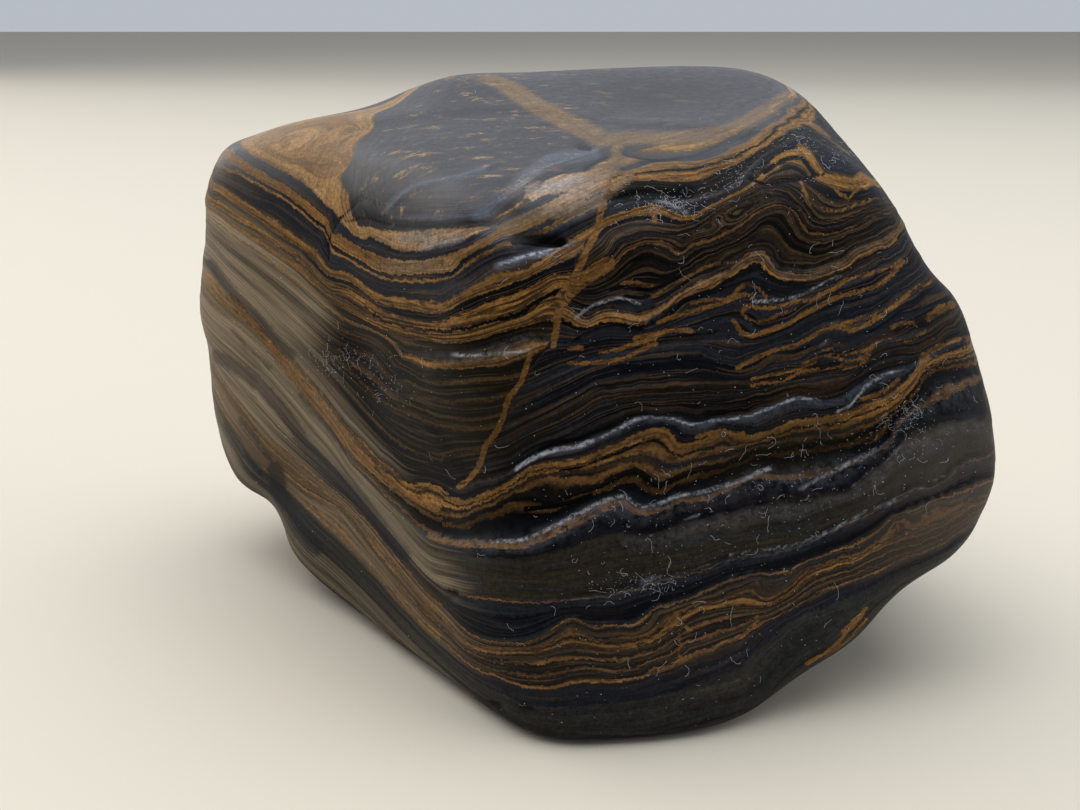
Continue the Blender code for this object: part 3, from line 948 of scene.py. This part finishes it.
def zone_marks(level, east, pixels, normals, facing):
    """Marks that depend on the bed, the side of the stone and the picture's column, u."""
    u = pixels[:, 0]
    first, soft_first, last, soft_last = DIM_COLUMNS
    worn = [share * passage(u, *WORN_COLUMNS, least) * band(level, low, high)
            for low, high, share, least in WORN_BANDS]
    return {
        "fleck": (passage(level, *FLECK_LEVELS)
                  * (1 - FLECKS_LOST * facing * passage(u, *FLECK_COLUMNS))),
        "polish": (passage(normals[:, 2], *POLISH_SLOPES)
                   * passage(level - POLISH_DROP * east, *POLISH_LEVELS)),
        "khaki": khaki_share(level, pixels, normals, facing),
        "worn": facing * sum(worn),
        "dim": (facing * passage(u, first, soft_first) * passage(last, u, soft_last)
                * band(level, *DIM_LEVELS) + blots(DULL, pixels, facing)),
        "shine": blots(SHINE, pixels, facing),
        "streaks": np.interp(level, *STREAK_SHARES),
        "steel": np.interp(level, *STEEL_SHARES) * np.clip(east + 0.5, 0.25, 1.0),
    }


# ---------------- shader helpers
class Nodes:
    """Short ways to add nodes to a material or a world."""

    def __init__(self, owner, end):
        owner.use_nodes = True
        self.tree = owner.node_tree
        self.end = self.tree.nodes[end]
        self.at = self.add("ShaderNodeTexCoord").outputs

    def add(self, kind, links=(), **settings):
        node = self.tree.nodes.new(kind)
        for name, value in settings.items():
            setattr(node, name, value)
        for socket, source in dict(links).items():
            self.join(source, node.inputs[socket])
        return node

    def join(self, source, socket):
        if isinstance(source, bpy.types.NodeSocket):
            self.tree.links.new(source, socket)
        elif socket.type == "RGBA":
            socket.default_value = (*source, 1.0)
        else:
            socket.default_value = source

    def feed(self, **sources):
        """Set or link inputs of the last node, spaces in their names written as low lines."""
        for name, source in sources.items():
            self.join(source, self.end.inputs[name.replace("_", " ")])

    def mark(self, name):
        return self.add("ShaderNodeAttribute", attribute_name=name).outputs["Fac"]

    def maths(self, operation, *values):
        node = self.add("ShaderNodeMath", operation=operation)
        for value, socket in zip(values, node.inputs):
            self.join(value, socket)
        return node.outputs[0]

    def plus(self, a, b):
        return self.maths("ADD", a, b)

    def times(self, a, b):
        return self.maths("MULTIPLY", a, b)

    def scaled(self, value, factor, base):
        """The base plus the value times the factor."""
        return self.maths("MULTIPLY_ADD", value, factor, base)

    def remap(self, value, low, high, new_low=0.0, new_high=1.0, kind="LINEAR"):
        return self.add("ShaderNodeMapRange", {
            "Value": value, "From Min": low, "From Max": high,
            "To Min": new_low, "To Max": new_high}, interpolation_type=kind).outputs[0]

    def step(self, value, low, high):
        """A smooth step from nil at the low value to one at the high."""
        return self.remap(value, low, high, kind="SMOOTHSTEP")

    def mix(self, factor, a, b, blend="MIX"):
        node = self.add("ShaderNodeMix", data_type="RGBA", blend_type=blend)
        for source, place in ((factor, 0), (a, 6), (b, 7)):
            self.join(source, node.inputs[place])
        return node.outputs[2]

    def coat(self, colour, name, where):
        """One of the coats over the colour."""
        tone, share = COATS[name]
        return self.mix(self.times(where, share), colour, tone)

    def shaded(self, colour, shade):
        """The colour times a grey shade."""
        grey = self.add("ShaderNodeCombineColor", {"Red": shade, "Green": shade, "Blue": shade})
        return self.mix(1.0, colour, grey.outputs[0], "MULTIPLY")

    def grey(self, colour):
        return self.add("ShaderNodeRGBToBW", {"Color": colour}).outputs[0]

    def noise(self, at, scale, detail=2.0, rough=0.5):
        return self.add("ShaderNodeTexNoise", {
            "Vector": at, "Scale": scale, "Detail": detail, "Roughness": rough}).outputs["Fac"]

    def grains(self, name, shape=(1.0, 1.0, 1.0)):
        """One of the noises that run evenly, squeezed to a shape."""
        at = self.add("ShaderNodeMapping", {"Vector": self.at["Object"], "Scale": shape})
        return self.noise(at.outputs[0], *GRAINS[name])

    def along_laminae(self, along, across, detail=2.0, rough=0.5):
        """Noise that changes slowly along the laminae and fast across them."""
        split = self.add("ShaderNodeSeparateXYZ", {"Vector": self.at["Object"]}).outputs
        at = self.add("ShaderNodeCombineXYZ", {
            "X": self.times(split[0], along), "Y": self.times(split[1], along),
            "Z": self.times(self.mark("lamina"), across)})
        return self.noise(at.outputs[0], 1.0, detail, rough)

    def strands(self, name):
        """One of the noises that run along the laminae."""
        return self.along_laminae(*STRANDS[name])

    def ramp(self, value, stops):
        node = self.add("ShaderNodeValToRGB", {"Fac": value})
        elements = node.color_ramp.elements
        for place, colour in stops[1:-1]:
            elements.new(place).color = (*colour, 1.0)
        for k in (0, -1):
            elements[k].position = stops[k][0]
            elements[k].color = (*stops[k][1], 1.0)
        return node.outputs["Color"]

    def bump(self, size, height):
        """Fine relief of the surface."""
        node = self.add("ShaderNodeBump", {"Height": height})
        node.inputs["Strength"].default_value, node.inputs["Distance"].default_value = size
        self.feed(Normal=node.outputs[0])


def new_material(name):
    """A material, and the way to add its nodes."""
    material = bpy.data.materials.new(name)
    return material, Nodes(material, "Principled BSDF")


# ---------------- stone's material
def log_stops(log, low, high):
    """Colour stops of the part of a log between two levels, from its foot up."""
    tops = [LOG_HEAD + 1.0] + [base for base, _ in log]
    beds = [(base, top, name) for (base, name), top in zip(log, tops)]
    beds = [bed for bed in reversed(beds) if bed[1] > low and bed[0] < high]
    stops = []
    for base, top, name in beds:
        half = min(EDGE_BLUR / 2, 0.3 * (top - base))
        for level in (max(base + half, low), min(top - half, high)):
            stops.append(((level - low) / (high - low), BED_COLOURS[name]))
    stops[0] = (0.0, stops[0][1])
    stops[-1] = (1.0, stops[-1][1])
    return stops


def bed_colour(n, text, level):
    """Colour of the bed at a level of a log."""
    log = read_log(text)
    bases = sorted(base for base, _ in log)
    cuts = [LOG_FOOT] + bases[RAMP_BEDS:-2:RAMP_BEDS] + [LOG_HEAD]
    colour = None
    for low, high in zip(cuts, cuts[1:]):
        part = n.ramp(n.remap(level, low, high), log_stops(log, low, high))
        if colour is None:
            colour = part
        else:
            colour = n.mix(n.maths("GREATER_THAN", level, low), colour, part)
    return colour


def ragged_level(n):
    """The bed level with uneven, toothed boundaries, and the log repeated under its foot."""
    broad = n.maths("SUBTRACT", n.grains("edge_broad"), 0.5)
    fine = n.maths("SUBTRACT", n.grains("edge_fine"), 0.5)
    finest = n.maths("SUBTRACT", n.grains("edge_finest"), 0.5)
    rag = n.plus(n.times(broad, 0.9), n.times(fine, 0.75))
    rag = n.scaled(finest, 0.35, rag)
    level = n.scaled(rag, n.mark("grade"), n.mark("bed"))
    wrapped = n.maths("WRAP", level, LOG_REPEAT, LOG_FOOT)
    lifted = n.maths("SUBTRACT", wrapped, level)
    return n.scaled(n.maths("LESS_THAN", level, LOG_FOOT), lifted, level)


def rock_colour(n):
    """Colour of the beds on both sides of the fault, of the top and of the threads."""
    level = ragged_level(n)
    east = n.remap(n.plus(n.grains("fault"), n.mark("east")), 0.45, 0.55)
    colour = n.mix(east, bed_colour(n, BED_LOG, level), bed_colour(n, EAST_LOG, level))
    gap = n.plus(n.mark("hematite"), n.scaled(n.grains("hematite"), 1.6, -0.8))
    colour = n.mix(n.step(gap, 0.15, -0.15), colour, BED_COLOURS["hematite"])
    streaks = n.mark("streaks")
    for across, name, low in THREADS:
        thread = n.step(n.along_laminae(THREAD_RUN, across, 1.5), low, low + 0.05)
        colour = n.coat(colour, name, n.times(thread, streaks))
    steel = n.step(n.strands("steel"), 0.50, 0.64)
    return n.coat(colour, "steel", n.times(steel, n.mark("steel")))


def stroke(n, kind, rag, more=0.0):
    """Share of a kind of stroke, with ragged edges."""
    ragged, outer, inner = STROKE_EDGES[kind]
    gap = n.plus(n.scaled(rag, ragged, n.mark(kind)), more)
    return n.step(gap, outer, inner)


def add_ochre_marks(n, colour, bright):
    """Dark grains within the ochre, its painted sheen, and its flecks on the top."""
    hole = n.strands("hole")
    dull = n.remap(n.grains("dull"), 0.38, 0.62, -0.04, 0.04)
    hole = n.step(n.plus(hole, dull), 0.52, 0.66)
    hole = n.times(hole, n.remap(n.mark("polish"), 0.2, 1.0, 0.85, 0.30))
    colour = n.coat(colour, "hole", n.times(hole, bright))
    colour = n.coat(colour, "shine", n.times(n.mark("shine"), bright))
    fleck = n.step(n.grains("fleck", FLECK_SHAPE), 0.55, 0.66)
    return n.coat(colour, "fleck", n.times(fleck, n.mark("fleck")))


def uneven_shade(n, broad, fine, spots):
    """Lighter and darker laminae and grains; on the polished top the laminae are fainter."""
    steep = n.remap(n.mark("grade"), 0.08, 0.45, 0.25, 1.0)
    shade = n.times(n.remap(broad, 0.30, 0.72, 0.60, 1.42), n.remap(fine, 0.3, 0.7, 0.78, 1.22))
    shade = n.scaled(steep, n.maths("SUBTRACT", shade, 1.0), 1.0)
    shade = n.times(shade, n.remap(spots, 0.3, 0.7, 0.78, 1.22))
    return n.times(shade, n.remap(n.grains("grain"), 0.3, 0.7, 0.62, 1.38))


def add_khaki_sheen_and_marks(n, colour, bright, rag):
    """Khaki painted sheen and scratches of the left face, and the worn, dim and slate-grey stretches."""
    khaki = n.remap(n.strands("khaki"), 0.36, 0.52, 0.45, 0.95)
    khaki = n.times(khaki, n.scaled(bright, -0.8, 1.0))
    reach = n.plus(n.mark("khaki"), -0.55)
    reach = n.scaled(n.strands("reach"), 1.1, reach)
    reach = n.step(reach, 0.10, 0.90)
    patch = n.remap(n.strands("patch"), 0.38, 0.62)
    colour = n.mix(n.times(khaki, reach), colour, n.mix(patch, KHAKI, KHAKI_DEEP))
    scratch = n.step(n.strands("scratch"), 0.60, 0.65)
    colour = n.coat(colour, "scratch", n.times(scratch, reach))
    for name in ("worn", "dim"):
        colour = n.coat(colour, name, n.mark(name))
    veil = n.scaled(n.mark("khaki"), -0.35, 0.85)
    return n.coat(colour, "slate", n.times(stroke(n, "slate", rag), veil))


def stone_material():
    """Polished banded ironstone."""
    material, n = new_material("banded_ironstone_skin")
    broad = n.strands("broad")
    fine = n.strands("fine")
    spots = n.grains("spots")
    rag = n.plus(n.scaled(n.grains("stroke_broad"), 0.5, -0.25),
                 n.scaled(n.grains("stroke_fine"), 0.4, -0.20))
    colour = rock_colour(n)
    for kind in ("pale", "glint", "ochre", "dark"):
        colour = n.coat(colour, kind, stroke(n, kind, rag))
    bright = n.remap(n.grey(colour), 0.03, 0.09)
    colour = add_ochre_marks(n, colour, bright)
    colour = n.shaded(colour, uneven_shade(n, broad, fine, spots))
    colour = add_khaki_sheen_and_marks(n, colour, bright, rag)

    # dust and frost with painted highlights on the crests, painted shade in the recesses and pits
    crest = stroke(n, "crest", rag, n.remap(n.grains("crest"), 0.35, 0.65, -0.1, 0.62))
    crest_dust_and_highlight = n.maths("MAXIMUM", crest, n.times(n.mark("crest_dust_and_highlight"), 0.25))
    crest_dust_and_highlight = n.times(crest_dust_and_highlight, n.step(n.grains("crest_dust_and_highlight"), 0.36, 0.62))
    colour = n.coat(colour, "crest_dust_and_highlight", crest_dust_and_highlight)
    bright_dust_and_highlight = n.times(stroke(n, "bright_dust_and_highlight", rag), n.step(n.grains("bright_dust_and_highlight"), 0.33, 0.58))
    colour = n.coat(colour, "bright_dust_and_highlight", bright_dust_and_highlight)
    colour = n.shaded(colour, n.maths("SUBTRACT", 1.0, n.times(n.mark("painted_shade"), 0.75)))

    polish = n.maths("MAXIMUM", n.mark("polish"), n.times(crest, 0.6))
    sheen = n.remap(n.grey(colour), 0.01, 0.12, SHEEN_DARK, SHEEN_PALE)
    rough = n.plus(n.remap(polish, 0.0, 1.0, 0.45, 0.40), n.remap(spots, 0.3, 0.7, -0.05, 0.08))
    n.feed(Base_Color=colour, Specular_IOR_Level=n.scaled(polish, sheen, SHEEN_SIDE),
           Roughness=n.scaled(crest_dust_and_highlight, 0.3, rough))
    height = n.plus(n.times(broad, 0.6), n.times(fine, 0.5))
    n.bump(SKIN_BUMP, n.scaled(spots, 0.35, height))
    return material


# ---------------- pieces
def add_piece(name, spots_m, faces, material):
    """A mesh of its own in the scene."""
    mesh = bpy.data.meshes.new(name)
    mesh.from_pydata(spots_m, [], faces)
    mesh.update()
    mesh.materials.append(material)
    piece = bpy.data.objects.new(name, mesh)
    bpy.context.scene.collection.objects.link(piece)
    return piece


def build_skin():
    """The stone's visible surface."""
    points, quads, places, normals, links = bare_skin()
    tree = BVHTree.FromPolygons([tuple(p) for p in points.tolist()],
                                [tuple(q) for q in quads.tolist()])
    to_camera = unit(CAMERA_AT - points)
    facing = passage(np.sum(normals * to_camera, axis=1), 0.0, FACING_FULL)
    pixels = to_picture(points)
    east, vein = fault_sides(points, pixels, facing)
    level = bed_levels(points, tree)
    level, lamina, grade = wavy_beds(level, east, points, pixels, links)
    # painted shade: the recess above each ledge and the pits are darkened in the colour
    crest_dust_and_highlight, recess_shade = ledge_marks(level, pixels, facing)
    pits = blots(PITS, pixels, facing)
    marks = {kind: stroke_distance(kind, pixels, facing) for kind in STROKES}
    marks["ochre"] = np.minimum(marks["ochre"], vein)
    marks.update(zone_marks(level, east, pixels, normals, facing))
    marks.update({"bed": level, "lamina": lamina, "grade": grade, "east": east, "crest_dust_and_highlight": crest_dust_and_highlight,
                  "painted_shade": np.clip(recess_shade + pits, 0.0, 1.0),
                  "hematite": hematite_distance(pixels, facing)})

    rise = relief(level, lamina, grade, pixels, facing) - pits
    rise += CREST_RISE * falling(marks["crest"] / RIM_SOFTNESS)
    rise -= GAP_DEPTH * falling(marks["dark"] / RIM_SOFTNESS)
    points = points + normals * rise[:, None]
    points[:, 2] = np.maximum(points[:, 2], 0.0)
    stone = add_piece("stone_skin", (points * MM).tolist(), quads.tolist(), stone_material())
    mesh = stone.data
    layer = mesh.uv_layers.new(name="OFBake")
    layer.data.foreach_set("uv", places.reshape(-1).astype(np.float32))
    for name, values in marks.items():
        layer = mesh.attributes.new(name, "FLOAT", "POINT")
        layer.data.foreach_set("value", np.asarray(values, dtype=np.float32))
    mesh.shade_smooth()
    return stone


def lint_material():
    """Pale threads and specks of lint."""
    material, n = new_material("lint_fibre")
    tone = n.grains("lint")
    n.feed(Base_Color=n.ramp(tone, list(zip((0.3, 0.7), LINT_TONES))),
           Roughness=n.remap(tone, 0.3, 0.7, 0.75, 0.9))
    n.bump(LINT_BUMP, tone)
    return material


def lint_spots(tree, rng, count):
    """Random places on the near sides of the stone, crowded in the lint's patches."""
    patches = np.array(LINT_PATCHES, dtype=float)
    picks = rng.choice(len(patches), count, p=patches[:, 4] / patches[:, 4].sum())
    pixels = patches[picks, :2] + rng.normal(0.0, 1.0, (count, 2)) * patches[picks, 2:4]
    return hits(tree, pixels)


def fibre_path(tree, rng, place, normal):
    """Points of one curled fibre that lies along the stone."""
    length = rng.uniform(*FIBRE_LENGTHS) * rng.uniform(0.4, 1.0)
    heading = rng.uniform(0, 2 * math.pi)
    curl = rng.normal(0.0, FIBRE_CURL)
    bounce = rng.uniform(*FIBRE_BOUNCE)
    step = length / (FIBRE_POINTS - 1)
    side = normal.orthogonal().normalized()
    path = []
    for k in range(FIBRE_POINTS):
        across = normal.cross(side)
        lift = FIBRE_RADIUS + bounce * math.sin(math.pi * k / (FIBRE_POINTS - 1))
        path.append((place + normal * lift, normal.copy()))
        ahead = side * math.cos(heading) + across * math.sin(heading)
        heading += curl + rng.normal(0.0, FIBRE_WANDER)
        place, normal, _, _ = tree.find_nearest(place + ahead * step)
        side = (side - normal * side.dot(normal)).normalized()
    return path


def add_fibre(path, spots, faces):
    """A three-sided tube along the path."""
    first = len(spots)
    last = len(path) - 1
    for k, (spot, normal) in enumerate(path):
        along = path[min(k + 1, last)][0] - path[max(k - 1, 0)][0]
        side = along.cross(normal).normalized()
        over = side.cross(along).normalized()
        for turn in range(3):
            angle = 2 * math.pi * turn / 3
            offset = side * math.cos(angle) + over * math.sin(angle)
            spots.append(spot + offset * FIBRE_RADIUS)
    for k in range(last):
        for turn in range(3):
            here, there = first + 3 * k + turn, first + 3 * k + (turn + 1) % 3
            faces.append((here, there, there + 3, here + 3))
    faces.append((first + 2, first + 1, first))
    faces.append((first + 3 * last, first + 3 * last + 1, first + 3 * last + 2))


def add_speck(place, normal, rng, spots, faces):
    """A small uneven grain with eight faces."""
    first = len(spots)
    size = rng.uniform(*SPECK_SIZES)
    for axis in ((1, 0, 0), (0, 1, 0), (0, 0, 1)):
        for sign in (1, -1):
            reach = sign * size * rng.uniform(0.6, 1.5)
            spots.append(place + normal * size * 0.5 + Vector(axis) * reach)
    for x in (0, 1):
        for y in (2, 3):
            for z in (4, 5):
                face = (first + x, first + y, first + z)
                faces.append(face if (x + y + z) % 2 == 0 else face[::-1])


def build_lint(skin):
    """Lint and dust that have settled on the stone."""
    rng = np.random.default_rng(SEED + 5)
    tree = mesh_tree(skin.data)
    spots = []
    faces = []
    for place, normal in lint_spots(tree, rng, FIBRES):
        add_fibre(fibre_path(tree, rng, place, normal), spots, faces)
    for place, normal in lint_spots(tree, rng, SPECKS):
        add_speck(place, normal, rng, spots, faces)
    return add_piece("lint", [spot * MM for spot in spots], faces, lint_material())


def build_floor():
    """Plain pale floor."""
    material, n = new_material("floor_paint")
    n.feed(Base_Color=FLOOR_COLOUR, Roughness=FLOOR_ROUGHNESS)
    half = FLOOR_HALF_M
    corners = [(-half, -half, 0), (half, -half, 0), (half, half, 0), (-half, half, 0)]
    return add_piece("floor", corners, [(0, 1, 2, 3)], material)


# ---------------- light and camera
def add_light(name, place, aim, size, energy, colour):
    """A soft box light."""
    lamp = bpy.data.lights.new(name, "AREA")
    lamp.shape = "RECTANGLE"
    lamp.size, lamp.size_y = size
    lamp.energy = energy
    lamp.color = colour
    holder = bpy.data.objects.new(name, lamp)
    holder.location = place
    holder.rotation_euler = (Vector(aim) - Vector(place)).to_track_quat("-Z", "Y").to_euler()
    bpy.context.scene.collection.objects.link(holder)


def add_camera():
    """The photo's view."""
    data = bpy.data.cameras.new("camera")
    data.sensor_width = SENSOR_WIDTH
    data.lens = SENSOR_WIDTH * FOCAL / PICTURE[0]
    camera = bpy.data.objects.new("camera", data)
    camera.location = Vector(CAMERA_AT) * MM
    camera.rotation_euler = (math.pi / 2 - CAMERA_DIP, 0, 0)
    bpy.context.scene.view_settings.view_transform = "Standard"
    bpy.context.scene.collection.objects.link(camera)
    bpy.context.scene.camera = camera


def set_world():
    """Soft light that is strongest from behind the stone, and weak from the near side."""
    world = bpy.data.worlds.new("studio")
    bpy.context.scene.world = world
    n = Nodes(world, "Background")
    split = n.add("ShaderNodeSeparateXYZ", {"Vector": n.at["Generated"]})
    share = n.remap(split.outputs[1], *WORLD_SPAN)
    n.feed(Color=n.ramp(share, [(0.0, WORLD_NEAR), (1.0, WORLD_FAR)]), Strength=1.0)


stone = build_skin()
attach(stone, "root")
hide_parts(CAD_NODE)
lint = build_lint(stone)
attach(lint, "root")
floor = build_floor()
for lamp in LIGHTS:
    add_light(*lamp)
add_camera()
set_world()
